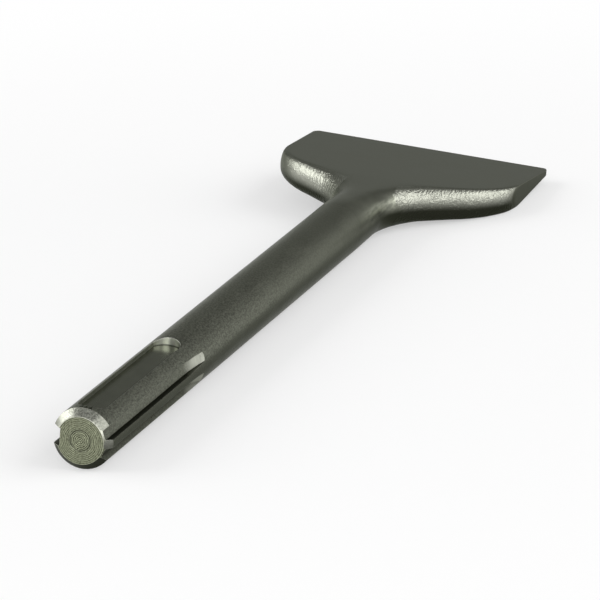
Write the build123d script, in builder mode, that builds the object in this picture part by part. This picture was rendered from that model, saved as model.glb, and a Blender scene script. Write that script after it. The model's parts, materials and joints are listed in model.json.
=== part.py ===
"""Wide flat chisel forged in one piece, for a rotary hammer with an 18 mm grooved shank.

It is built flat: the shank's axis runs along +X from the centre of its struck end and the
blade lies in the XY plane. Last it is laid down as it comes to rest: rolled onto its shank and
one shoulder, with +Z up, and turned half round, so that the struck end faces +X and the blade
points to -X. Sizes are in millimetres and degrees.
"""

import os
from math import acos, atan2, cos, degrees, pi, radians, sin, sqrt, tan

from build123d import *

# Shank
shank_diameter = 18.0
shank_length = 240.0          # from the struck end to where the neck starts to widen
end_chamfer_width = 2.0       # radial
end_chamfer_length = 2.3      # along the axis
turned_ring_diameter = 6.0    # shallow ring that the lathe left on the struck face
turned_ring_width = 0.5
turned_ring_depth = 0.2

# Driving keyways, open at the struck end and cut by a disc cutter
keyway_length = 62.0          # to where the cutter starts to lift out
cutter_radius = 58.0
narrow_keyway_depth = 1.7
narrow_keyway_floor = 2.7     # width of the flat floor
narrow_keyway_flank = 26.0    # flank's slope from the radial direction
narrow_keyway_spread = 21.0   # each narrow keyway's angle from the -Y side
wide_keyway_depth = 2.95
wide_keyway_floor = 5.2
wide_keyway_flank = 4.0

# Locking recesses, closed at both ends, on the top and the underside
recess_start = 4.2
recess_length = 66.0
recess_width = 8.4
recess_depth = 2.4

# Forged neck and shoulders
neck_radius = 28.0            # hollow curve from the shank to the shoulder
shoulder_angle = 53.0         # between the shoulder's straight stretch and the axis
shoulder_radius = 36.0        # rounded curve from the shoulder to the side
forged_width = 87.4           # before the sides are ground
forged_thickness = 12.4       # at the shoulders
thinning_start = 19.0         # the neck starts to flatten this far before it widens
thinning_length = 53.5
squareness = 1.5              # 1 gives the widened forging full-round edges, more gives flatter faces
forging_stations = 27         # sections that the forging's skin passes through
forging_allowance = 4.0       # forged beyond the cutting edge, before it is ground away
cutter_clearance = 2.0        # how far each cutting shape stands clear of the steel

# Ground blade
blade_length = 84.5           # from the start of the neck to the front of the ground faces
blade_width = 84.2            # at the cutting edge
side_taper = 1.6              # each ground side's slope towards the shank
wedge_angle = 4.85            # each ground face's slope from the blade's middle plane
front_thickness = 1.6         # where the ground faces meet the cutting bevels
bevel_angle = 30.0            # each cutting bevel's slope
edge_thickness = 0.3
corner_radius = 4.2

shank_radius = shank_diameter / 2
forged_half_width = forged_width / 2
plate_half_thickness = forged_thickness / 2
front_half = front_thickness / 2
edge_half = edge_thickness / 2
ground_front = shank_length + blade_length
bevel_length = (front_half - edge_half) / tan(radians(bevel_angle))
cutting_edge = ground_front + bevel_length

# Plan outline of the forged neck: hollow arc, straight stretch, rounded arc, straight side
turn = radians(shoulder_angle)
hollow_end = shank_length + neck_radius * sin(turn)
hollow_end_width = shank_radius + neck_radius * (1 - cos(turn))
round_start_width = forged_half_width - shoulder_radius * (1 - cos(turn))
round_start = hollow_end + (round_start_width - hollow_end_width) / tan(turn)
round_end = round_start + shoulder_radius * sin(turn)


def forged_half_width_at(x):
    """Half the forging's width at a distance from the struck end."""
    if x <= shank_length:
        return shank_radius
    if x <= hollow_end:
        run = x - shank_length
        return shank_radius + neck_radius - sqrt(neck_radius**2 - run**2)
    if x <= round_start:
        return hollow_end_width + (x - hollow_end) * tan(turn)
    if x <= round_end:
        run = round_end - x
        return forged_half_width - shoulder_radius + sqrt(shoulder_radius**2 - run**2)
    return forged_half_width


def forged_slope_at(x):
    """Slope of the plan outline, as a tangent."""
    if x <= shank_length or x >= round_end:
        return 0.0
    if x <= hollow_end:
        run = x - shank_length
        return run / sqrt(neck_radius**2 - run**2)
    if x <= round_start:
        return tan(turn)
    run = round_end - x
    return run / sqrt(shoulder_radius**2 - run**2)


def forged_half_thickness_at(x):
    """Half the forging's thickness: round bar, smooth thinning, level plate."""
    share = (x - (shank_length - thinning_start)) / thinning_length
    share = min(max(share, 0.0), 1.0)
    fade = 1 - share**2 * (3 - 2 * share)
    return plate_half_thickness + (shank_radius - plate_half_thickness) * fade


def forged_section(x, points=32):
    """Closed outline across the forging: a circle at the shank, a round-edged plate later.

    The exponent grows with width over thickness, taken square to the plan outline.
    """
    half_width = forged_half_width_at(x)
    half_thickness = forged_half_thickness_at(x)
    edge_depth = half_thickness * sqrt(1 + forged_slope_at(x) ** 2)
    flatness = max(2 * half_width / edge_depth - 2, 0.0)
    exponent = 2 + squareness * flatness
    outline = []
    for step in range(points):
        angle = 2 * pi * step / points
        across = abs(cos(angle)) ** (2 / exponent)
        if cos(angle) < 0:
            across = -across
        outline.append((half_width * across, half_thickness * sin(angle)))
    return outline


def resting_roll_at(x):
    """Roll about the shank's axis that brings the blade's section at x down to the floor."""
    ground_half_width = blade_width / 2 - (cutting_edge - x) * tan(radians(side_taper))
    ground_half_thickness = front_half + (ground_front - x) * tan(radians(wedge_angle))
    roll = 90.0
    for across, up in forged_section(x, points=360):
        across = min(abs(across), ground_half_width)
        up = min(abs(up), ground_half_thickness)
        from_axis = sqrt(across**2 + up**2)
        if from_axis > shank_radius:
            roll = min(roll, degrees(atan2(across, up) - acos(shank_radius / from_axis)))
    return roll


def radial_plane(angle, x):
    """Plane across the shank with its local +Y along a radius at an angle from +Y."""
    turned = radians(angle)
    return Plane(origin=(x, 0, 0), x_dir=(0, sin(turned), -cos(turned)), z_dir=(1, 0, 0))


neck_start = shank_length - thinning_start
forging_length = cutting_edge + forging_allowance - neck_start

# Each keyway: angle of its middle from +Y, depth, width of its floor, slope of its flanks
narrow_keyway = (narrow_keyway_depth, narrow_keyway_floor, narrow_keyway_flank)
wide_keyway = (wide_keyway_depth, wide_keyway_floor, wide_keyway_flank)
keyways = [
    (0, *wide_keyway),
    (180 - narrow_keyway_spread, *narrow_keyway),
    (180 + narrow_keyway_spread, *narrow_keyway),
]

with BuildPart() as wide_chisel:
    # Forged neck and shoulders, from the round bar to a wide plate with rounded edges
    with BuildSketch(Plane.YZ.offset(neck_start)):
        Circle(shank_radius)
    for station in range(1, forging_stations + 1):
        station_x = neck_start + forging_length * station / forging_stations
        with BuildSketch(Plane.YZ.offset(station_x)):
            with BuildLine():
                Spline(*forged_section(station_x), periodic=True)
            make_face()
    loft()

    # Both faces ground to one flat wedge, meeting in a short bevel at the cutting edge
    rear_half = front_half + ground_front * tan(radians(wedge_angle))
    with BuildSketch(Plane.XZ):
        with BuildLine():
            Polyline(
                (0, -rear_half),
                (ground_front, -front_half),
                (cutting_edge, -edge_half),
                (cutting_edge, edge_half),
                (ground_front, front_half),
                (0, rear_half),
                close=True,
            )
        make_face()
    extrude(amount=forged_width, both=True, mode=Mode.INTERSECT)

    # Sides ground flat, with the corners of the cutting edge rounded off
    rear_width = blade_width - 2 * cutting_edge * tan(radians(side_taper))
    with BuildSketch(Plane.XY):
        with BuildLine():
            Polyline(
                (0, -rear_width / 2),
                (cutting_edge, -blade_width / 2),
                (cutting_edge, blade_width / 2),
                (0, rear_width / 2),
                close=True,
            )
        outline = make_face()
        fillet(outline.vertices().group_by(Axis.X)[-1], corner_radius)
    extrude(amount=shank_diameter, both=True, mode=Mode.INTERSECT)

    # Round shank with a turned, chamfered struck end
    with BuildSketch(Plane.YZ):
        Circle(shank_radius)
    extrude(amount=neck_start)
    struck_end = wide_chisel.faces().sort_by(Axis.X)[0]
    chamfer(struck_end.edges(), end_chamfer_width, end_chamfer_length, reference=struck_end)

    # Keyways: a straight run from the struck end, then the cutter's own arc up to the surface
    for angle, depth, floor, flank in keyways:
        floor_radius = shank_radius - depth
        reach = depth + cutter_clearance
        spread = floor / 2 + reach * tan(radians(flank))
        rim_plane = radial_plane(angle, keyway_length)
        with BuildSketch(rim_plane) as rim:
            with BuildLine():
                Polyline(
                    (-floor / 2, floor_radius),
                    (floor / 2, floor_radius),
                    (spread, floor_radius + reach),
                    (-spread, floor_radius + reach),
                    close=True,
                )
            make_face()
        extrude(amount=-keyway_length - cutter_clearance, mode=Mode.SUBTRACT)
        cutter_centre = rim_plane.from_local_coords(Vector(0, floor_radius + cutter_radius, 0))
        lift_angle = degrees(acos(1 - reach / cutter_radius))
        revolve(rim.sketch, Axis(cutter_centre, -rim_plane.x_dir), lift_angle, mode=Mode.SUBTRACT)

    # Locking recesses: round-ended pockets with flat floors
    for side in (1, -1):
        recess_floor = Plane.XY.offset(side * (shank_radius - recess_depth))
        with BuildSketch(recess_floor):
            with Locations((recess_start + recess_length / 2, 0)):
                SlotOverall(recess_length, recess_width)
        extrude(amount=side * (recess_depth + cutter_clearance), mode=Mode.SUBTRACT)

    # Shallow ring turned into the struck face
    with BuildSketch(Plane.YZ):
        Circle((turned_ring_diameter + turned_ring_width) / 2)
        Circle((turned_ring_diameter - turned_ring_width) / 2, mode=Mode.SUBTRACT)
    extrude(amount=turned_ring_depth, mode=Mode.SUBTRACT)

# Rolled until the shoulder on the narrow keyways' side is as low as the shank, then turned
resting_roll = min(resting_roll_at(shank_length + step) for step in range(int(blade_length)))
lying_chisel = wide_chisel.part.rotate(Axis.X, resting_roll).rotate(Axis.Z, 180)
lying_chisel.label = "wide_chisel"

os.makedirs("parts", exist_ok=True)
export_step(lying_chisel, "parts/wide_chisel.step")
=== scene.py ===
import json
from math import cos, hypot, pi, radians, sin, sqrt, tan
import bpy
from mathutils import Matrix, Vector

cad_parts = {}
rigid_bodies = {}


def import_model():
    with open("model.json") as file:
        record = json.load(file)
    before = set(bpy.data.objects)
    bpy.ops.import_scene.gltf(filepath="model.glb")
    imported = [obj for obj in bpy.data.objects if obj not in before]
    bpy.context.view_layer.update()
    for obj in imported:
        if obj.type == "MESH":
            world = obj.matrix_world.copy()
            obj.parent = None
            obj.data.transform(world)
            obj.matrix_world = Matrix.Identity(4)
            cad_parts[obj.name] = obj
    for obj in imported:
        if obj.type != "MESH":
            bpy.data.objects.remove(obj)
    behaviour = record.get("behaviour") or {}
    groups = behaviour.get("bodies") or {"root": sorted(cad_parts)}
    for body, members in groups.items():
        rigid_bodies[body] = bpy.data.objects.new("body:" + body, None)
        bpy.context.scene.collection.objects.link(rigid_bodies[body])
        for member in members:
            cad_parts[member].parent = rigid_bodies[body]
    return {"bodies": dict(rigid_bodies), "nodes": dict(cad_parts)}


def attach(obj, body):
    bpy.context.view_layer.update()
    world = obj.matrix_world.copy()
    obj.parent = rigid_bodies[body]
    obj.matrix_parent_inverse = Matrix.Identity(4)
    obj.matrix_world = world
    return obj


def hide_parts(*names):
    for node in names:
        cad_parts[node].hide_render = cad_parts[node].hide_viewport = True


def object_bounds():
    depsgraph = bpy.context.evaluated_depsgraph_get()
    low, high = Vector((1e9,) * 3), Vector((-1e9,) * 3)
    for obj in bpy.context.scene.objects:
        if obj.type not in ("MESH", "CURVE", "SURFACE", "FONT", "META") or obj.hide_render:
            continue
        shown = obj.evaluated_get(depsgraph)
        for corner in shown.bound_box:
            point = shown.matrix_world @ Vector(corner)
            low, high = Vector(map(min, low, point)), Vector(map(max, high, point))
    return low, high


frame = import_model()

from types import SimpleNamespace

import bpy
import numpy as np
from mathutils import Matrix, Vector

# Anything that Blender starts with, such as its cube, goes.
ours = set(frame["nodes"].values()) | set(frame["bodies"].values())
for other in list(bpy.context.scene.objects):
    if other not in ours:
        bpy.data.objects.remove(other)
cad_low, cad_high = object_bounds()

# The chisel lies rolled on one shoulder. "Flat" coordinates are those of its own middle plane:
# x from the struck face along the shank, y across the blade, z square to the blade, in metres.
ROLL = radians(6.948)
TO_FLAT = Matrix.Rotation(-ROLL, 3, "X") @ Matrix.Rotation(pi, 3, "Z")
MIDDLE = Vector((-0.16, 0.0, 0.0))  # of the chisel as it lies
SLACK = 0.0001  # by which a limit or an overlap goes past the exact size

# Struck end
SHANK_RADIUS = 0.009
FACE_RADIUS = 0.007  # inside the chamfer
CHAMFER_LENGTH = 0.0023
RING_RADIUS = 0.003  # of the ring turned into the face
RING_DEPTH = 0.0002
RING_PITCH = 0.00052  # of the fine rings that the tool left
RING_WOBBLE = 0.00018

# Grooves
KEYWAY_LENGTH = 0.062
KEYWAY_CORNER = 0.00742  # from the axis to the corner between a narrow keyway's floor and flank
CUTTER_RADIUS = 0.058
RECESS_MIDDLE = 0.0372
RECESS_TURN = 0.0288  # from there to where a recess's round end starts
RECESS_HALF_WIDTH = 0.0042
RECESS_FLOOR = 0.0066

# Forged neck and shoulders
NECK_START = 0.221
SHANK_END = 0.240
NECK_RADIUS = 0.028
SHOULDER_ANGLE = radians(53.0)
SHOULDER_RADIUS = 0.036
FORGED_HALF_WIDTH = 0.0437
PLATE_HALF_THICKNESS = 0.0062
THINNING_LENGTH = 0.0535
SQUARENESS = 1.5
RIPPLE_PITCH = 0.0011

# Blade ground out of the forging
GROUND_FRONT = 0.3245
CUTTING_EDGE = 0.325626
FRONT_HALF = 0.0008
EDGE_HALF = 0.00015
BLADE_HALF_WIDTH = 0.0421
CORNER_RADIUS = 0.0042
FACE_SLOPE = tan(radians(4.85))
SIDE_SLOPE = tan(radians(1.6))
FACE_SOFTNESS = 0.0008  # how broadly the ground faces run into the forging
EDGE_SOFTNESS = 0.0002  # and into the ground sides
SOFTNESS_RUN = 0.001  # over which the one softness gives way to the other
SIDE_SOFTNESS = 0.0016  # how broadly the ground sides run into the shoulders

# Plan outline of the forging: hollow arc, straight stretch, rounded arc, straight side
HOLLOW_END = SHANK_END + NECK_RADIUS * sin(SHOULDER_ANGLE)
HOLLOW_WIDTH = SHANK_RADIUS + NECK_RADIUS * (1 - cos(SHOULDER_ANGLE))
ROUND_WIDTH = FORGED_HALF_WIDTH - SHOULDER_RADIUS * (1 - cos(SHOULDER_ANGLE))
ROUND_START = HOLLOW_END + (ROUND_WIDTH - HOLLOW_WIDTH) / tan(SHOULDER_ANGLE)
ROUND_END = ROUND_START + SHOULDER_RADIUS * sin(SHOULDER_ANGLE)

# Rings of points that the neck and blade are laid with
RING_STEP = 0.00065  # from one ring to the next
CORNER_STEP = 5  # degrees from one ring to the next round the blade's corners
LAST_GAP = 0.000005  # from the last ring but one to the cutting edge
QUARTER = 72  # steps in a quarter of a ring
FAN_START = 0.62  # share of them along the middle plane, before they stay and fan out
FAN_POWER = 1.7  # above 1, the rays turn towards the edge later
HALVINGS = 34
RAY_LENGTH = 0.05
LEAST_STEEPNESS = 20.0  # so that nothing is divided by 0 on the axis

# Finish
DARK_STEEL = (0.140, 0.1455, 0.119)
BRIGHT_STEEL = (0.420, 0.430, 0.370)
MILLED_STEEL_AND_HIGHLIGHT = (0.86, 0.87, 0.80), (0.96, 0.97, 0.90)  # darkest and lightest, on the recesses' end walls: milled steel lightened into a painted highlight
TURNED_STEEL = (0.038, 0.042, 0.023), (0.380, 0.403, 0.278)
# Painted highlight along the rim of the struck face, below
FACE_RIM_HIGHLIGHT = (0.70, 0.71, 0.62)
WORN_EDGE_HIGHLIGHT = (0.62, 0.63, 0.55)  # edges: polish from handling, with a painted edge highlight
PAINTED_SHADE = (0.030, 0.032, 0.022)  # colour of the painted shade in corners and on surfaces that face down
EDGE_TINT = (0.6, 0.612, 0.575, 1.0)  # dulls the steel where it is seen at a low angle
EDGE_RADIUS = 0.00016

# Heights of the bumps
GRAIN_HEIGHT = 0.00006
RING_HEIGHT = 0.000028
SKIN_HEIGHT = 0.0003
FAINT_MARKS = 0.00002  # of milling and turning

# Where the finish and the painted light and shade change. A pair is the stretch over which
# it does, and the comment says along what.
GRAIN_FADES = 0.08, NECK_START  # x, the shank's grain grows fainter
INSIDE_RING = RING_RADIUS - 0.0004, RING_RADIUS + 0.0004  # radius, marks are stronger inside
OUTSIDE_RING = RING_RADIUS + 0.001, RING_RADIUS + 0.002  # radius, edges are more worn, and their painted highlight stronger, outside
RING_DARKENS = RING_DEPTH * 0.1, RING_DEPTH * 0.5  # x
RIM_BRIGHTENS = FACE_RADIUS - 0.00028, FACE_RADIUS - 0.0001  # radius, a painted highlight round the face
RIM_RISES = 0.0005, 0.003  # z, that painted highlight is on the upper half alone
CHAMFER_PAINTED_LIGHT = -0.004, 0.004  # y, painted light: the chamfer's clean tone is lighter towards +y
CHAMFER_CLEARS = 0.003, 0.006  # |y|, cleaner towards its sides
RECESS_ENDS = RECESS_TURN - 0.0002, RECESS_TURN + 0.0012  # |x| from the recess's middle
RECESS_HIGHLIGHT_AT = 0.0011  # y, where the painted highlight on the recess's end walls is brightest
RECESS_HIGHLIGHT_FADES = 0.0014, 0.0038  # |y| from there, over which the painted highlight fades
WALL_CLEARS = RECESS_FLOOR, RECESS_FLOOR + 0.0004  # |z|, painted shade at the foot of the walls
FLOOR_CLEARS = 0.0001, 0.00045  # from the wall, painted shade on the rim of the floor
MORE_AT_ENDS = 0.0002, 0.0012  # |x| past where the round end starts, more such painted shade
KEYWAY_HIGHLIGHT_GROWS = KEYWAY_LENGTH, KEYWAY_LENGTH + 0.0095  # x, painted highlight where the cutter lifted out
CORNER_CLEARS = 0.0, 0.0015  # radius above a keyway's corner, painted shade in it
CROWN_SHEEN_GROWS = NECK_START + 0.001, SHANK_END - 0.002  # x, a painted sheen on its flanks
ROUGH_FROM = 0.0127  # |y| + 0.6 |z|, the forging turns rough
ROUGH_BORDER = ROUGH_FROM - 0.0003, ROUGH_FROM + 0.0003
ROUGH_WANDER = 0.001  # by which that border wanders
OUTER_END_DARKENS = 0.030, 0.037  # y, on the +Y shoulder
NECK_END_CLEARS = 0.0135, 0.0200  # y, on the +Y shoulder
UNDER_SHADE_RISES = -0.038, -0.028  # y, the painted shade underneath reaches higher
UNDER_SHADE_SINKS = 0.0, 0.015  # y, and lower again
CREASES_FADE = 0.014, 0.022  # y
RIPPLES_RISE = 0.0, 0.012  # y
RIPPLES_FADE = 0.018, 0.027  # y
RIPPLE_WANDER = 0.0042  # by which a ripple leaves its line
BORDER_WANDER = 0.00022  # by which the edges of the ground faces and sides wander
FACE_BORDER = 0.00008, 0.00018  # below a ground face
SIDE_BORDER = 0.00016, 0.00034  # inside a ground side
FRONT_BORDER = GROUND_FRONT - 0.0004, GROUND_FRONT - 0.0002  # x


def tone(color, factor=1.0):
    return tuple(channel * factor for channel in color) + (1.0,)


class Nodes:
    """A short way to build a node tree: each call adds a node and returns its main output.

    A value is a plain number or the output of another node.
    """

    def __init__(self, tree):
        self.tree = tree
        tree.nodes.clear()

    def new(self, kind, **settings):
        node = self.tree.nodes.new(kind)
        for name, value in settings.items():
            setattr(node, name, value)
        return node

    def join(self, value, socket):
        if isinstance(value, bpy.types.NodeSocket):
            self.tree.links.new(value, socket)
        else:
            socket.default_value = value

    def math(self, operation, *values, clamp=False):
        node = self.new("ShaderNodeMath", operation=operation, use_clamp=clamp)
        for value, socket in zip(values, node.inputs):
            self.join(value, socket)
        return node.outputs[0]

    def plus(self, total, *others):
        for other in others:
            total = self.math("ADD", total, other)
        return total

    def times(self, product, *others):
        for other in others:
            product = self.math("MULTIPLY", product, other)
        return product

    def minus(self, first, second):
        return self.math("SUBTRACT", first, second)

    def magnitude(self, value):
        return self.math("ABSOLUTE", value)

    def larger(self, first, second):
        return self.math("MAXIMUM", first, second)

    def distance(self, first, second):
        """From the origin, of a point with two parts."""
        return self.math("SQRT", self.plus(self.times(first, first), self.times(second, second)))

    def blend(self, share, first, second):
        """The first number at a share of 0, and the second at 1."""
        return self.plus(self.times(second, share), self.times(first, self.minus(1.0, share)))

    def remap(self, value, low, high, to_low, to_high, smooth=False):
        """From to_low, where the value is low, to to_high, where it is high, and level beyond."""
        node = self.new("ShaderNodeMapRange")
        if smooth:
            node.interpolation_type = "SMOOTHSTEP"
        for amount, name in zip(
            (value, low, high, to_low, to_high),
            ("Value", "From Min", "From Max", "To Min", "To Max"),
        ):
            self.join(amount, node.inputs[name])
        return node.outputs["Result"]

    def noise(self, vector, scale, detail=2.0, roughness=0.5, distortion=0.0, stretch=None):
        """Noise of a scale per metre. A stretch below 1 draws it out along that axis."""
        if stretch:
            node = self.new("ShaderNodeVectorMath", operation="MULTIPLY")
            self.join(vector, node.inputs[0])
            self.join(stretch, node.inputs[1])
            vector = node.outputs[0]
        node = self.new("ShaderNodeTexNoise")
        self.join(vector, node.inputs["Vector"])
        self.join(scale, node.inputs["Scale"])
        self.join(detail, node.inputs["Detail"])
        self.join(roughness, node.inputs["Roughness"])
        self.join(distortion, node.inputs["Distortion"])
        return node.outputs["Fac"]

    def mix_color(self, share, first, second):
        node = self.new("ShaderNodeMix", data_type="RGBA")
        self.join(share, node.inputs["Factor"])
        self.join(first, node.inputs[6])
        self.join(second, node.inputs[7])
        return node.outputs[2]

    def mottle(self, noise, spread, first, second):
        """From the first colour to the second, as noise goes from 0.5 - spread to 0.5 + spread."""
        share = self.remap(noise, 0.5 - spread, 0.5 + spread, 0.0, 1.0)
        return self.mix_color(share, first, second)

    def bump(self, height, distance, normal=None):
        node = self.new("ShaderNodeBump")
        self.join(height, node.inputs["Height"])
        self.join(distance, node.inputs["Distance"])
        if normal is not None:
            self.join(normal, node.inputs["Normal"])
        return node.outputs["Normal"]

    def rounded_edges(self):
        node = self.new("ShaderNodeBevel", samples=6)
        self.join(EDGE_RADIUS, node.inputs["Radius"])
        return node.outputs["Normal"]

    def edge_wear_and_highlight(self, rounded, start=0.02, full=0.16):
        """0 on open surfaces, 1 on edges, where handling has polished the steel and a painted edge
        highlight goes.
        """
        dot = self.new("ShaderNodeVectorMath", operation="DOT_PRODUCT")
        self.join(self.new("ShaderNodeNewGeometry").outputs["Normal"], dot.inputs[0])
        self.join(rounded, dot.inputs[1])
        turned = self.minus(1.0, dot.outputs["Value"])
        return self.remap(turned, start, full, 0.0, 1.0, smooth=True)

    def facing_up(self):
        """How far the surface faces up, from -1 to 1, as the chisel lies."""
        split = self.new("ShaderNodeSeparateXYZ")
        self.join(self.new("ShaderNodeTexCoord").outputs["Normal"], split.inputs[0])
        return split.outputs[2]

    def painted_shade_below(self, low, high, share):
        """Share of painted shade: the given share where the surface faces down, 0 where it faces
        up.
        """
        return self.remap(self.facing_up(), low, high, share, 0.0, smooth=True)

    def flat_place(self):
        """Flat coordinates as a vector, and its parts."""
        turn = self.new("ShaderNodeMapping")
        self.join(self.new("ShaderNodeTexCoord").outputs["Object"], turn.inputs["Vector"])
        self.join((ROLL, 0.0, pi), turn.inputs["Rotation"])
        split = self.new("ShaderNodeSeparateXYZ")
        self.join(turn.outputs["Vector"], split.inputs[0])
        x, y, z = split.outputs
        return SimpleNamespace(vector=turn.outputs["Vector"], x=x, y=y, z=z)

    def steel(self, color, roughness, normal):
        shader = self.new("ShaderNodeBsdfPrincipled")
        shader.inputs["Metallic"].default_value = 1.0
        shader.inputs["Specular Tint"].default_value = EDGE_TINT
        self.join(color, shader.inputs["Base Color"])
        self.join(roughness, shader.inputs["Roughness"])
        self.join(normal, shader.inputs["Normal"])
        out = self.new("ShaderNodeOutputMaterial")
        self.join(shader.outputs[0], out.inputs["Surface"])


def new_material(name):
    material = bpy.data.materials.new(name)
    material.use_nodes = True
    return material, Nodes(material.node_tree)


def shank_material():
    """Dark satin steel, blasted fine and tempered: cloudy tone, fine grain, rounded edges."""
    material, n = new_material("satin_shank")
    at = n.flat_place()
    clouds = n.noise(at.vector, 140.0, detail=4.0, roughness=0.6, stretch=(0.5, 1.0, 1.0))
    grain = n.noise(at.vector, 1900.0, detail=3.0, roughness=0.65, stretch=(0.6, 1.0, 1.0))
    drawn = n.noise(at.vector, 1500.0, roughness=0.6, stretch=(0.08, 1.0, 1.0))
    base = n.mottle(clouds, 0.15, tone(DARK_STEEL, 0.9), tone(DARK_STEEL, 1.08))
    specks = n.mottle(grain, 0.12, tone(DARK_STEEL, 0.5), tone(DARK_STEEL, 1.55))
    grainy = n.remap(at.x, *GRAIN_FADES, 0.75, 0.15, smooth=True)
    base = n.mix_color(grainy, base, specks)
    # Painted shade on the surfaces that face down
    base = n.mix_color(n.painted_shade_below(-0.2, 0.25, 0.9), base, tone(PAINTED_SHADE))
    rounded = n.rounded_edges()
    # Lighter edges: polish from handling, and a painted edge highlight
    wear_and_highlight = n.times(n.edge_wear_and_highlight(rounded), n.remap(grain, 0.35, 0.6, 0.1, 0.7))
    base = n.mix_color(wear_and_highlight, base, tone(BRIGHT_STEEL))
    height = n.plus(grain, n.times(drawn, 0.35))
    n.steel(base, n.remap(clouds, 0.3, 0.7, 0.305, 0.375), n.bump(height, GRAIN_HEIGHT, rounded))
    return material


def struck_material():
    """Bare turned face of the struck end: rings that the tool left, a little uneven."""
    material, n = new_material("turned_face")
    at = n.flat_place()
    from_axis = n.distance(at.y, at.z)
    wander = n.noise(at.vector, 260.0)
    fine = n.noise(at.vector, 2600.0, detail=3.0, roughness=0.6)
    chatter = n.noise(at.vector, 1500.0, detail=3.0, roughness=0.7)
    patches = n.remap(n.noise(at.vector, 800.0, roughness=0.6), 0.35, 0.65, 0.1, 1.0)
    radius = n.plus(from_axis, n.times(n.minus(wander, 0.5), RING_WOBBLE))
    rings = n.math("SINE", n.times(radius, 2 * pi / RING_PITCH))
    stronger_inside = n.remap(from_axis, *INSIDE_RING, 2.2, 1.3)
    lift = n.plus(n.times(rings, patches, stronger_inside), n.times(n.minus(chatter, 0.5), 4.5))
    dark, light = (tone(color) for color in TURNED_STEEL)
    base = n.mix_color(n.remap(lift, -1.5, 1.5, 0.0, 1.0), dark, light)
    base = n.mix_color(n.remap(at.x, *RING_DARKENS, 0.0, 0.4), base, dark)
    rounded = n.rounded_edges()
    # Lighter edges: polish from handling, and a painted edge highlight, more of both outside the
    # ring
    outside = n.remap(from_axis, *OUTSIDE_RING, 0.25, 1.0)
    base = n.mix_color(n.times(n.edge_wear_and_highlight(rounded, 0.01, 0.1), outside), base, tone(WORN_EDGE_HIGHLIGHT))
    # Painted highlight along the rim of the face, on its upper half
    at_rim = n.remap(from_axis, *RIM_BRIGHTENS, 0.0, 0.7, smooth=True)
    rim = n.times(at_rim, n.remap(at.z, *RIM_RISES, 0.0, 1.0))
    base = n.mix_color(rim, base, tone(FACE_RIM_HIGHLIGHT))
    n.steel(base, n.remap(fine, 0.3, 0.7, 0.34, 0.48), n.bump(lift, RING_HEIGHT, rounded))
    return material


def chamfer_material():
    """Bright turned chamfer, clean towards its sides, with painted light across it and painted
    shade on its lower half.
    """
    material, n = new_material("turned_chamfer")
    at = n.flat_place()
    clouds = n.noise(at.vector, 700.0, detail=3.0, roughness=0.6)
    fine = n.noise(at.vector, 2200.0, detail=3.0, roughness=0.7)
    marks = n.noise(at.vector, 2600.0, roughness=0.6, stretch=(1.0, 0.25, 0.25))
    shade = n.plus(n.times(clouds, 0.15), n.times(fine, 0.85))
    base = n.mottle(shade, 0.12, tone(BRIGHT_STEEL, 0.4), tone(BRIGHT_STEEL, 1.35))
    # Painted light: the clean tone is darker towards -y and lighter towards +y
    painted_light_across = n.remap(at.y, *CHAMFER_PAINTED_LIGHT, 0.0, 1.0)
    clean_with_painted_light = n.mix_color(painted_light_across, tone(BRIGHT_STEEL, 0.62), tone(BRIGHT_STEEL, 0.90))
    cleaner = n.remap(n.magnitude(at.y), *CHAMFER_CLEARS, 0.0, 0.75, smooth=True)
    base = n.mix_color(cleaner, base, clean_with_painted_light)
    # Painted shade on the lower half, which faces down
    base = n.mix_color(n.painted_shade_below(-0.4, 0.25, 0.97), base, tone(PAINTED_SHADE, 0.6))
    rounded = n.rounded_edges()
    # Lighter edges: polish from handling, and a painted edge highlight
    base = n.mix_color(n.times(n.edge_wear_and_highlight(rounded), 0.7), base, tone(WORN_EDGE_HIGHLIGHT))
    n.steel(base, n.remap(clouds, 0.3, 0.7, 0.28, 0.38), n.bump(marks, FAINT_MARKS, rounded))
    return material


def recess_wall_material():
    """Milled walls of the locking recesses, brightest at the round ends with a painted highlight,
    and with painted shade at their foot.
    """
    material, n = new_material("recess_walls")
    at = n.flat_place()
    clouds = n.noise(at.vector, 420.0, detail=3.0, roughness=0.6)
    along = n.magnitude(n.minus(at.x, RECESS_MIDDLE))
    end = n.remap(along, *RECESS_ENDS, 0.0, 1.0, smooth=True)
    sides = n.mottle(clouds, 0.18, tone(BRIGHT_STEEL, 0.85), tone(BRIGHT_STEEL, 1.1))
    # End walls: milled steel lightened into a painted highlight, brightest at one y and duller to
    # either side
    ends = n.mottle(clouds, 0.18, *(tone(color) for color in MILLED_STEEL_AND_HIGHLIGHT))
    from_painted_highlight = n.magnitude(n.minus(at.y, RECESS_HIGHLIGHT_AT))
    off_painted_highlight = n.remap(from_painted_highlight, *RECESS_HIGHLIGHT_FADES, 0.0, 0.6, smooth=True)
    ends = n.mix_color(off_painted_highlight, ends, tone(DARK_STEEL, 2.2))
    base = n.mix_color(end, sides, ends)
    # Painted shade at the foot of the walls, strongest at the round ends
    foot = n.remap(n.magnitude(at.z), *WALL_CLEARS, 0.9, 0.0, smooth=True)
    painted_corner_shade = n.times(foot, n.remap(end, 0.0, 1.0, 0.2, 1.0))
    n.steel(n.mix_color(painted_corner_shade, base, tone(PAINTED_SHADE)), 0.36, n.rounded_edges())
    return material


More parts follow.
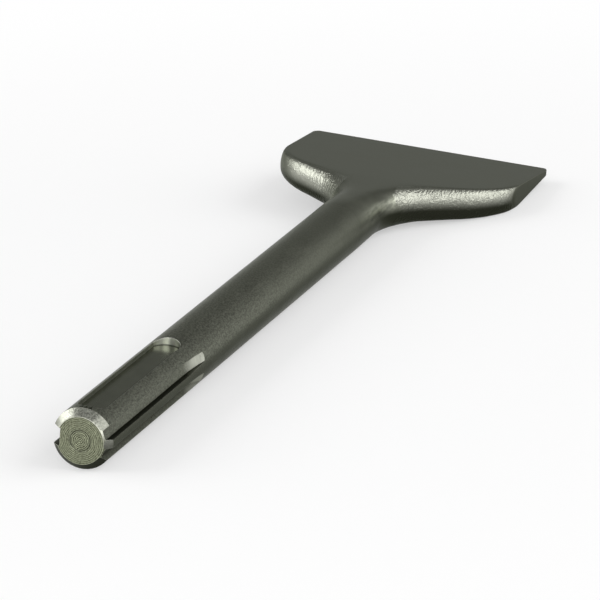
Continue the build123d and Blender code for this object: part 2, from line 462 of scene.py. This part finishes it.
def recess_floor_material():
    """Smooth milled floors of the locking recesses, which mirror the bright end walls."""
    material, n = new_material("recess_floors")
    at = n.flat_place()
    clouds = n.noise(at.vector, 240.0, detail=4.0, roughness=0.6, stretch=(0.5, 1.0, 1.0))
    base = n.mottle(clouds, 0.15, tone(DARK_STEEL, 0.92), tone(DARK_STEEL, 1.08))
    along = n.magnitude(n.minus(at.x, RECESS_MIDDLE))
    past_turn = n.larger(n.minus(along, RECESS_TURN), 0.0)
    to_wall = n.minus(RECESS_HALF_WIDTH, n.distance(past_turn, at.y))
    # Painted shade on the rim of the floor along the walls, more at the round ends
    rim = n.remap(to_wall, *FLOOR_CLEARS, 0.9, 0.0, smooth=True)
    painted_corner_shade = n.times(rim, n.remap(past_turn, *MORE_AT_ENDS, 0.25, 1.0))
    n.steel(n.mix_color(painted_corner_shade, base, tone(PAINTED_SHADE)), 0.22, n.bump(clouds, FAINT_MARKS))
    return material


def keyway_material():
    """Keyways: as dark as the shank, with a painted highlight where the cutter lifted out and
    painted shade in lower corners and underneath.
    """
    material, n = new_material("keyways")
    at = n.flat_place()
    clouds = n.noise(at.vector, 300.0, detail=3.0, roughness=0.6)
    marks = n.noise(at.vector, 1900.0, roughness=0.6, stretch=(1.0, 0.3, 0.3))
    grain = n.noise(at.vector, 1900.0, detail=3.0, roughness=0.65, stretch=(0.6, 1.0, 1.0))
    shade = n.plus(n.times(clouds, 0.6), n.times(marks, 0.4))
    dark = n.mottle(grain, 0.14, tone(DARK_STEEL, 0.62), tone(DARK_STEEL, 1.32))
    # Painted highlight on the run-outs, where the cutter lifted out
    runout_highlight_color = n.mottle(shade, 0.18, tone(BRIGHT_STEEL, 0.95), tone(BRIGHT_STEEL, 1.3))
    runout_highlight = n.remap(at.x, *KEYWAY_HIGHLIGHT_GROWS, 0.0, 1.0, smooth=True)
    base = n.mix_color(runout_highlight, dark, runout_highlight_color)

    # The corner between floor and flank rises with the cutter's arc
    run = n.larger(n.minus(at.x, KEYWAY_LENGTH), 0.0)
    rise = n.math("DIVIDE", n.times(run, run), 2 * CUTTER_RADIUS)
    above_corner = n.minus(n.distance(at.y, at.z), n.plus(rise, KEYWAY_CORNER))
    # Painted shade in the corner between floor and flank, on its up-facing side
    up_facing_shade = n.remap(n.facing_up(), 0.45, 0.65, 0.0, 1.0)
    painted_corner_shade = n.times(n.remap(above_corner, *CORNER_CLEARS, 0.98, 0.3), up_facing_shade)
    base = n.mix_color(painted_corner_shade, base, tone(PAINTED_SHADE))
    # Painted shade where the keyway faces down, half as much on the run-outs
    shaded_below = n.times(n.painted_shade_below(-0.35, 0.15, 0.85), n.remap(runout_highlight, 0.0, 1.0, 1.0, 0.5))
    base = n.mix_color(shaded_below, base, tone(PAINTED_SHADE))
    normal = n.bump(n.plus(marks, grain), FAINT_MARKS, n.rounded_edges())
    n.steel(base, n.remap(clouds, 0.3, 0.7, 0.27, 0.34), normal)
    return material


def crown_color(n, at):
    """Smooth crown of the neck, with a painted sheen along its flanks where it runs into the
    shoulders, and painted shade underneath.
    """
    clouds = n.noise(at.vector, 140.0, detail=4.0, roughness=0.6)
    streaks = n.noise(at.vector, 900.0, roughness=0.6, stretch=(0.25, 1.0, 1.0))
    color = n.mottle(clouds, 0.15, tone(DARK_STEEL, 0.9), tone(DARK_STEEL, 1.12))
    # Painted sheen along the flanks, where they face sideways
    flank_sheen = n.times(
        n.remap(n.facing_up(), 0.62, 0.42, 0.0, 1.0, smooth=True),
        n.remap(at.x, *CROWN_SHEEN_GROWS, 0.0, 1.0),
        n.remap(streaks, 0.35, 0.65, 0.3, 1.0),
    )
    color = n.mix_color(flank_sheen, color, tone(DARK_STEEL, 2.35))
    # Painted shade underneath, a little darker past the shank; scale here names that shade colour
    past_shank = n.remap(at.x, NECK_START, SHANK_END, 0.0, 1.0, smooth=True)
    scale = n.mix_color(past_shank, tone(PAINTED_SHADE), tone(PAINTED_SHADE, 0.78))
    share = n.remap(past_shank, 0.0, 1.0, 0.9, 1.0)
    return n.mix_color(n.painted_shade_below(-0.2, 0.25, share), color, scale)


def shoulder_color(n, at, pits):
    """Bright shoulders, darker at both ends of the +Y one, with painted shade where they face up or
    down.
    """
    color = n.mottle(pits, 0.15, tone(BRIGHT_STEEL, 0.72), tone(BRIGHT_STEEL, 0.92))
    outer_end = n.remap(at.y, *OUTER_END_DARKENS, 0.0, 0.95, smooth=True)
    neck_end = n.times(
        n.remap(at.y, *NECK_END_CLEARS, 0.7, 0.0, smooth=True),
        n.math("GREATER_THAN", at.y, 0.0),
    )
    # Painted shade where the shoulders face up, together with the darker ends of the +Y shoulder
    up_facing_shade = n.remap(n.facing_up(), 0.88, 0.97, 0.0, 0.8)
    darker = n.larger(n.plus(outer_end, neck_end), up_facing_shade)
    color = n.mix_color(darker, color, tone(DARK_STEEL, 0.95))
    # Painted shade underneath; how high it reaches changes across the shoulders
    reach = n.minus(
        n.remap(at.y, *UNDER_SHADE_RISES, 0.2, 0.37),
        n.remap(at.y, *UNDER_SHADE_SINKS, 0.0, 0.12),
    )
    return n.mix_color(n.painted_shade_below(-0.25, reach, 1.0), color, tone(PAINTED_SHADE, 0.78))


def shoulder_height(n, at, pits):
    """Crumpled skin of the shoulders: folds, creases and, close to the neck, ripples across."""
    folds = n.noise(at.vector, 430.0, distortion=1.2, stretch=(1.0, 0.8, 1.3))
    creases = n.plus(n.times(n.magnitude(n.minus(folds, 0.5)), 1.7), n.times(folds, 0.5))
    creases = n.times(creases, n.remap(at.y, *CREASES_FADE, 1.0, 0.55, smooth=True))
    phase = n.plus(n.magnitude(at.y), n.times(n.noise(at.vector, 240.0), RIPPLE_WANDER))
    ripples = n.math("SINE", n.times(phase, 2 * pi / RIPPLE_PITCH))
    depth = n.times(
        n.remap(at.y, *RIPPLES_FADE, 0.17, 0.012, smooth=True),
        n.remap(at.y, *RIPPLES_RISE, 0.4, 1.0),
    )
    return n.plus(creases, n.times(pits, 0.14), n.times(ripples, depth))


def ground_share(n, at, pits):
    """1 on the ground faces and sides and 0 on the forging, with a slightly ragged border."""
    face_height = n.math("MULTIPLY_ADD", n.minus(GROUND_FRONT, at.x), FACE_SLOPE, FRONT_HALF)
    side_width = n.math("MULTIPLY_ADD", n.minus(at.x, CUTTING_EDGE), SIDE_SLOPE, BLADE_HALF_WIDTH)
    ragged = n.times(n.minus(pits, 0.5), BORDER_WANDER)
    under_face = n.plus(n.minus(face_height, n.magnitude(at.z)), ragged)
    under_side = n.plus(n.minus(side_width, n.magnitude(at.y)), ragged)
    on_face = n.remap(under_face, *FACE_BORDER, 1.0, 0.0, smooth=True)
    on_side = n.remap(under_side, *SIDE_BORDER, 1.0, 0.0, smooth=True)
    at_front = n.remap(at.x, *FRONT_BORDER, 0.0, 1.0)
    return n.larger(n.larger(on_face, on_side), at_front)


def blade_material():
    """Neck, shoulders and blade: smooth crown, crumpled shoulders, satin ground faces and sides."""
    material, n = new_material("forged_and_ground")
    at = n.flat_place()
    pits = n.noise(at.vector, 1500.0, detail=3.0, roughness=0.7)
    grain = n.noise(at.vector, 2400.0, roughness=0.6)
    wander = n.minus(n.noise(at.vector, 500.0, detail=3.0, roughness=0.6), 0.5)

    # The forging, from its crown to its sides
    wander = n.times(wander, ROUGH_WANDER)
    outwards = n.plus(n.magnitude(at.y), n.times(n.magnitude(at.z), 0.6), wander)
    crumpled = n.remap(outwards, *ROUGH_BORDER, 0.0, 1.0, smooth=True)
    forged = n.mix_color(crumpled, crown_color(n, at), shoulder_color(n, at, pits))
    forged_height = n.blend(crumpled, n.times(grain, 0.05), shoulder_height(n, at, pits))

    # Ground faces and sides, marked faintly along the way they were ground
    along = n.noise(at.vector, 1900.0, detail=3.0, roughness=0.65, stretch=(1.0, 0.06, 1.0))
    broad = n.noise(at.vector, 60.0, detail=4.0, roughness=0.6)
    shade = n.plus(n.times(broad, 0.7), n.times(along, 0.3))
    ground = n.mottle(shade, 0.15, tone(DARK_STEEL, 0.92), tone(DARK_STEEL, 1.07))
    # Painted shade on the ground faces and sides that face down
    ground = n.mix_color(n.painted_shade_below(-0.22, 0.24, 0.97), ground, tone(PAINTED_SHADE))
    ground_height = n.times(n.plus(along, grain), 0.02)

    share = ground_share(n, at, pits)
    height = n.blend(share, forged_height, ground_height)
    rough = n.plus(n.times(n.minus(broad, 0.5), 0.1), n.remap(share, 0.0, 1.0, 0.33, 0.36))
    n.steel(n.mix_color(share, forged, ground), rough, n.bump(height, SKIN_HEIGHT))
    return material


MATERIALS = [
    shank_material(),
    struck_material(),
    chamfer_material(),
    recess_wall_material(),
    recess_floor_material(),
    keyway_material(),
    blade_material(),
]
SHANK, STRUCK, CHAMFER, WALLS, FLOORS, KEYWAYS, BLADE = range(len(MATERIALS))


def finish_of(centre, normal):
    """Which material a facet takes, from its place and the way it faces, in flat coordinates."""
    x, y, z = centre
    if x < RING_DEPTH + SLACK:
        return STRUCK
    if x < CHAMFER_LENGTH + SLACK and abs(normal.x) > 0.5:
        return CHAMFER

    # The round surface is as far from the axis as can be, square to it and faces out
    from_axis = hypot(y, z)
    outward = (normal.y * y + normal.z * z) / from_axis
    if from_axis > SHANK_RADIUS * 0.985 and abs(normal.x) < 0.01 and outward > 0.97:
        return SHANK
    if abs(y) < RECESS_HALF_WIDTH + SLACK and abs(z) > RECESS_FLOOR - SLACK:
        return FLOORS if abs(normal.z) > 0.9 else WALLS
    return KEYWAYS


def forged_outline(x):
    """The forging's half width in plan at x, and the slope of its outline."""
    if x <= SHANK_END:
        return SHANK_RADIUS, 0.0
    if x <= HOLLOW_END:
        run = x - SHANK_END
        rest = sqrt(NECK_RADIUS**2 - run**2)
        return SHANK_RADIUS + NECK_RADIUS - rest, run / rest
    if x <= ROUND_START:
        return HOLLOW_WIDTH + (x - HOLLOW_END) * tan(SHOULDER_ANGLE), tan(SHOULDER_ANGLE)
    if x <= ROUND_END:
        run = ROUND_END - x
        rest = sqrt(SHOULDER_RADIUS**2 - run**2)
        return FORGED_HALF_WIDTH - SHOULDER_RADIUS + rest, run / rest
    return FORGED_HALF_WIDTH, 0.0


def forged_half_thickness(x):
    share = min(max((x - NECK_START) / THINNING_LENGTH, 0.0), 1.0)
    fade = 1 - share**2 * (3 - 2 * share)
    return PLATE_HALF_THICKNESS + (SHANK_RADIUS - PLATE_HALF_THICKNESS) * fade


def ground_limits(x):
    """Half the thickness between the ground faces, and half the width between the ground sides."""
    bevel = (x - GROUND_FRONT) / (CUTTING_EDGE - GROUND_FRONT)
    if bevel > 0:
        height = FRONT_HALF + (EDGE_HALF - FRONT_HALF) * min(bevel, 1.0)
    else:
        height = FRONT_HALF + (GROUND_FRONT - x) * FACE_SLOPE
    width = BLADE_HALF_WIDTH - (CUTTING_EDGE - x) * SIDE_SLOPE
    into_corner = x - (CUTTING_EDGE - CORNER_RADIUS)
    if into_corner > 0:
        width -= CORNER_RADIUS - sqrt(max(CORNER_RADIUS**2 - into_corner**2, 0.0))
    return height, width


def soft_max(first, second, softness):
    """The larger of two numbers, rounded off where they are nearly equal."""
    near = np.maximum(softness - np.abs(first - second), 0.0) / softness
    return np.maximum(first, second) + near * near * softness / 4


def blade_ring(x):
    """Closed ring of points round the neck or blade at x, its edges rounded.

    A quarter is worked out, and mirrored. Its rays start on the middle plane, turn from straight
    up to straight sideways, and are halved until they end on the surface.
    """
    half_width, slope = forged_outline(x)
    half_thickness = forged_half_thickness(x)
    height, width = ground_limits(x)
    flatness = max(2 * half_width / (half_thickness * sqrt(1 + slope**2)) - 2, 0.0)
    exponent = 2 + SQUARENESS * flatness
    reach = max(min(half_width, width) - min(half_thickness, height), 0.0)
    share = np.linspace(0.0, 1.0, QUARTER + 1)
    start = reach * np.minimum(share / FAN_START, 1.0)
    angle = pi / 2 * share**FAN_POWER
    low, high = np.zeros(QUARTER + 1), np.full(QUARTER + 1, RAY_LENGTH)
    for _ in range(HALVINGS):
        middle = (low + high) / 2
        y, z = start + middle * np.sin(angle), middle * np.cos(angle)

        # Distance from the forging's skin: its implicit formula over the formula's steepness
        across, up = y / half_width, z / half_thickness
        sideways = exponent * across ** (exponent - 1) / half_width
        steepness = np.hypot(sideways, 2 * up / half_thickness)
        forged = (across**exponent + up**2 - 1) / np.maximum(steepness, LEAST_STEEPNESS)

        # Cut by the ground side and then by the ground face, more sharply where the two meet
        # and where the blade grows thin
        on_side = np.clip((y - width - forged) / SOFTNESS_RUN, 0.0, 1.0)
        softness = FACE_SOFTNESS + (EDGE_SOFTNESS - FACE_SOFTNESS) * on_side
        beyond = soft_max(forged, y - width, min(SIDE_SOFTNESS, 1.2 * height))
        beyond = soft_max(beyond, z - height, np.minimum(softness, 0.5 * height))
        high = np.where(beyond > 0, middle, high)
        low = np.where(beyond > 0, low, middle)
    corner = list(zip(start + low * np.sin(angle), low * np.cos(angle)))
    ring = corner + [(y, -z) for y, z in corner[-2::-1]]
    ring += [(-y, -z) for y, z in corner[1:]] + [(-y, z) for y, z in corner[-2:0:-1]]
    return [(x, y, z) for y, z in ring]


class Skin:
    """Points, facets, and each facet's finish and corner normals, from which the mesh is made."""

    def __init__(self):
        self.points, self.facets, self.finishes, self.normals = [], [], [], []

    def add_facet(self, corners, finish, normals=None):
        self.facets.append(corners)
        self.finishes.append(finish)
        self.normals += normals or [(0.0, 0.0, 0.0)] * len(corners)  # 0 leaves them to Blender

    def add_shank(self, solid):
        """The solid's own facets, as far as the neck."""
        numbers = {}
        for polygon in solid.polygons:
            centre = TO_FLAT @ polygon.center
            if centre.x >= NECK_START:
                continue
            for vertex in polygon.vertices:
                if vertex not in numbers:
                    numbers[vertex] = len(self.points)
                    self.points.append(solid.vertices[vertex].co.copy())
            self.add_facet(
                [numbers[vertex] for vertex in polygon.vertices],
                finish_of(centre, TO_FLAT @ polygon.normal),
                [tuple(solid.corner_normals[loop].vector) for loop in polygon.loop_indices],
            )

    def add_blade(self):
        """Rings round the neck, shoulders and blade, closer together at the rounded corners."""
        corner_start = CUTTING_EDGE - CORNER_RADIUS
        stations = list(np.arange(NECK_START - SLACK, corner_start, RING_STEP))
        for turn in range(0, 90, CORNER_STEP):
            stations.append(corner_start + CORNER_RADIUS * sin(radians(turn)))
        stations += [GROUND_FRONT, CUTTING_EDGE - LAST_GAP, CUTTING_EDGE]
        to_row = TO_FLAT.inverted()
        rings = []
        for x in sorted(stations):
            ring = blade_ring(x)
            rings.append(range(len(self.points), len(self.points) + len(ring)))
            self.points += [to_row @ Vector(point) for point in ring]
        for here, there in zip(rings, rings[1:]):
            for step in range(len(here)):
                after = (step + 1) % len(here)
                self.add_facet([here[step], here[after], there[after], there[step]], BLADE)
        self.add_facet(list(rings[-1]), BLADE)

    def make_object(self, name):
        mesh = bpy.data.meshes.new(name)
        mesh.from_pydata(self.points, [], self.facets)
        for material in MATERIALS:
            mesh.materials.append(material)
        for polygon, finish in zip(mesh.polygons, self.finishes):
            polygon.material_index = finish
            polygon.use_smooth = True
        mesh.normals_split_custom_set(self.normals)
        made = bpy.data.objects.new(name, mesh)
        bpy.context.scene.collection.objects.link(made)
        return made


skin = Skin()
skin.add_shank(frame["nodes"]["wide_chisel"].data)
skin.add_blade()
chisel = skin.make_object("chisel_steel")
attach(chisel, "root")
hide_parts("wide_chisel")


# Floor: a pale matt sheet that keeps the shadow near the chisel and runs out to white.
SHADOW_END = 0.12  # from the chisel's middle to where the floor starts to turn white
WHITE_START = 0.5  # and to where it is all white
SHADOW_WHITENESS = 0.45  # of the floor beside the chisel, which weakens the shadow
FLOOR_RADIUS = 7.0

bpy.ops.mesh.primitive_circle_add(
    vertices=96,
    radius=FLOOR_RADIUS,
    fill_type="NGON",
    location=(MIDDLE.x, MIDDLE.y, cad_low.z),
)
floor = bpy.context.object
floor.name = "floor"
material, n = new_material("pale_floor")
split = n.new("ShaderNodeSeparateXYZ")
n.join(n.new("ShaderNodeTexCoord").outputs["Object"], split.inputs[0])
away = n.distance(split.outputs[0], split.outputs[1])
matt = n.new("ShaderNodeBsdfDiffuse")
matt.inputs["Color"].default_value = (0.9, 0.9, 0.9, 1.0)
white = n.new("ShaderNodeEmission")
white.inputs["Color"].default_value = (1.0, 1.0, 1.0, 1.0)
rays = n.new("ShaderNodeLightPath")
seen = n.math("ADD", rays.outputs["Is Camera Ray"], rays.outputs["Is Glossy Ray"])
seen = n.math("ADD", seen, rays.outputs["Is Transmission Ray"], clamp=True)
mixed = n.new("ShaderNodeMixShader")
whiteness = n.remap(away, SHADOW_END, WHITE_START, SHADOW_WHITENESS, 1.0, smooth=True)
n.join(n.times(seen, whiteness), mixed.inputs[0])
n.join(matt.outputs[0], mixed.inputs[1])
n.join(white.outputs[0], mixed.inputs[2])
out = n.new("ShaderNodeOutputMaterial")
n.join(mixed.outputs[0], out.inputs["Surface"])
floor.data.materials.append(material)

# World: a grey studio, pale at the horizon. Each stop is a height from 0 to 1 and a grey.
STOPS = [(0.0, 0.9), (0.06, 0.75), (0.156, 0.56), (0.38, 0.40), (1.0, 0.38)]

world = bpy.data.worlds.new("studio")
bpy.context.scene.world = world
world.use_nodes = True
n = Nodes(world.node_tree)
split = n.new("ShaderNodeSeparateXYZ")
n.join(n.new("ShaderNodeTexCoord").outputs["Generated"], split.inputs[0])
ramp = n.new("ShaderNodeValToRGB")
n.join(split.outputs[2], ramp.inputs[0])
ramp.color_ramp.interpolation = "EASE"
for height, grey in STOPS[1:-1]:
    ramp.color_ramp.elements.new(height)
for element, (height, grey) in zip(ramp.color_ramp.elements, STOPS):
    element.color = (grey, grey, grey, 1.0)
sky = n.new("ShaderNodeBackground")
n.join(ramp.outputs[0], sky.inputs["Color"])
out = n.new("ShaderNodeOutputWorld")
n.join(sky.outputs[0], out.inputs["Surface"])

LAMP_DISTANCE = 3.0


def softbox(name, azimuth, elevation, width, height, radiance):
    """A rectangular softbox that looks at the middle of the chisel. Its angles are in degrees."""
    lamp = bpy.data.lights.new(name, "AREA")
    lamp.shape = "RECTANGLE"
    lamp.size = width
    lamp.size_y = height
    lamp.energy = radiance * pi * width * height
    box = bpy.data.objects.new(name, lamp)
    bpy.context.scene.collection.objects.link(box)
    turn, lift = radians(azimuth), radians(elevation)
    away = Vector((cos(turn) * cos(lift), sin(turn) * cos(lift), sin(lift)))
    box.location = MIDDLE + away * LAMP_DISTANCE
    box.rotation_euler = away.to_track_quat("Z", "Y").to_euler()


softbox("softbox_near", 97.0, 32.0, width=3.4, height=2.7, radiance=2.2)
softbox("softbox_far", -85.0, 30.0, width=2.8, height=1.9, radiance=2.82)
softbox("softbox_front", 24.0, 22.0, width=2.5, height=1.0, radiance=4.6)
softbox("softbox_back", 157.0, 8.0, width=1.6, height=0.7, radiance=0.25)

# Camera: worked out from the outlines of the shank and the blade in the photograph.
CAMERA_PLACE = (1.07181, 0.45000, 0.37459)
CAMERA_TURN = (73.7961, 2.3741, 109.0423)  # degrees

lens = bpy.data.cameras.new("camera")
lens.lens = 264.84
lens.sensor_width = 36.0
lens.shift_x = 0.0041
lens.shift_y = 0.001
camera = bpy.data.objects.new("camera", lens)
bpy.context.scene.collection.objects.link(camera)
camera.location = CAMERA_PLACE
camera.rotation_euler = [radians(angle) for angle in CAMERA_TURN]
bpy.context.scene.camera = camera
bpy.context.scene.view_settings.view_transform = "Standard"
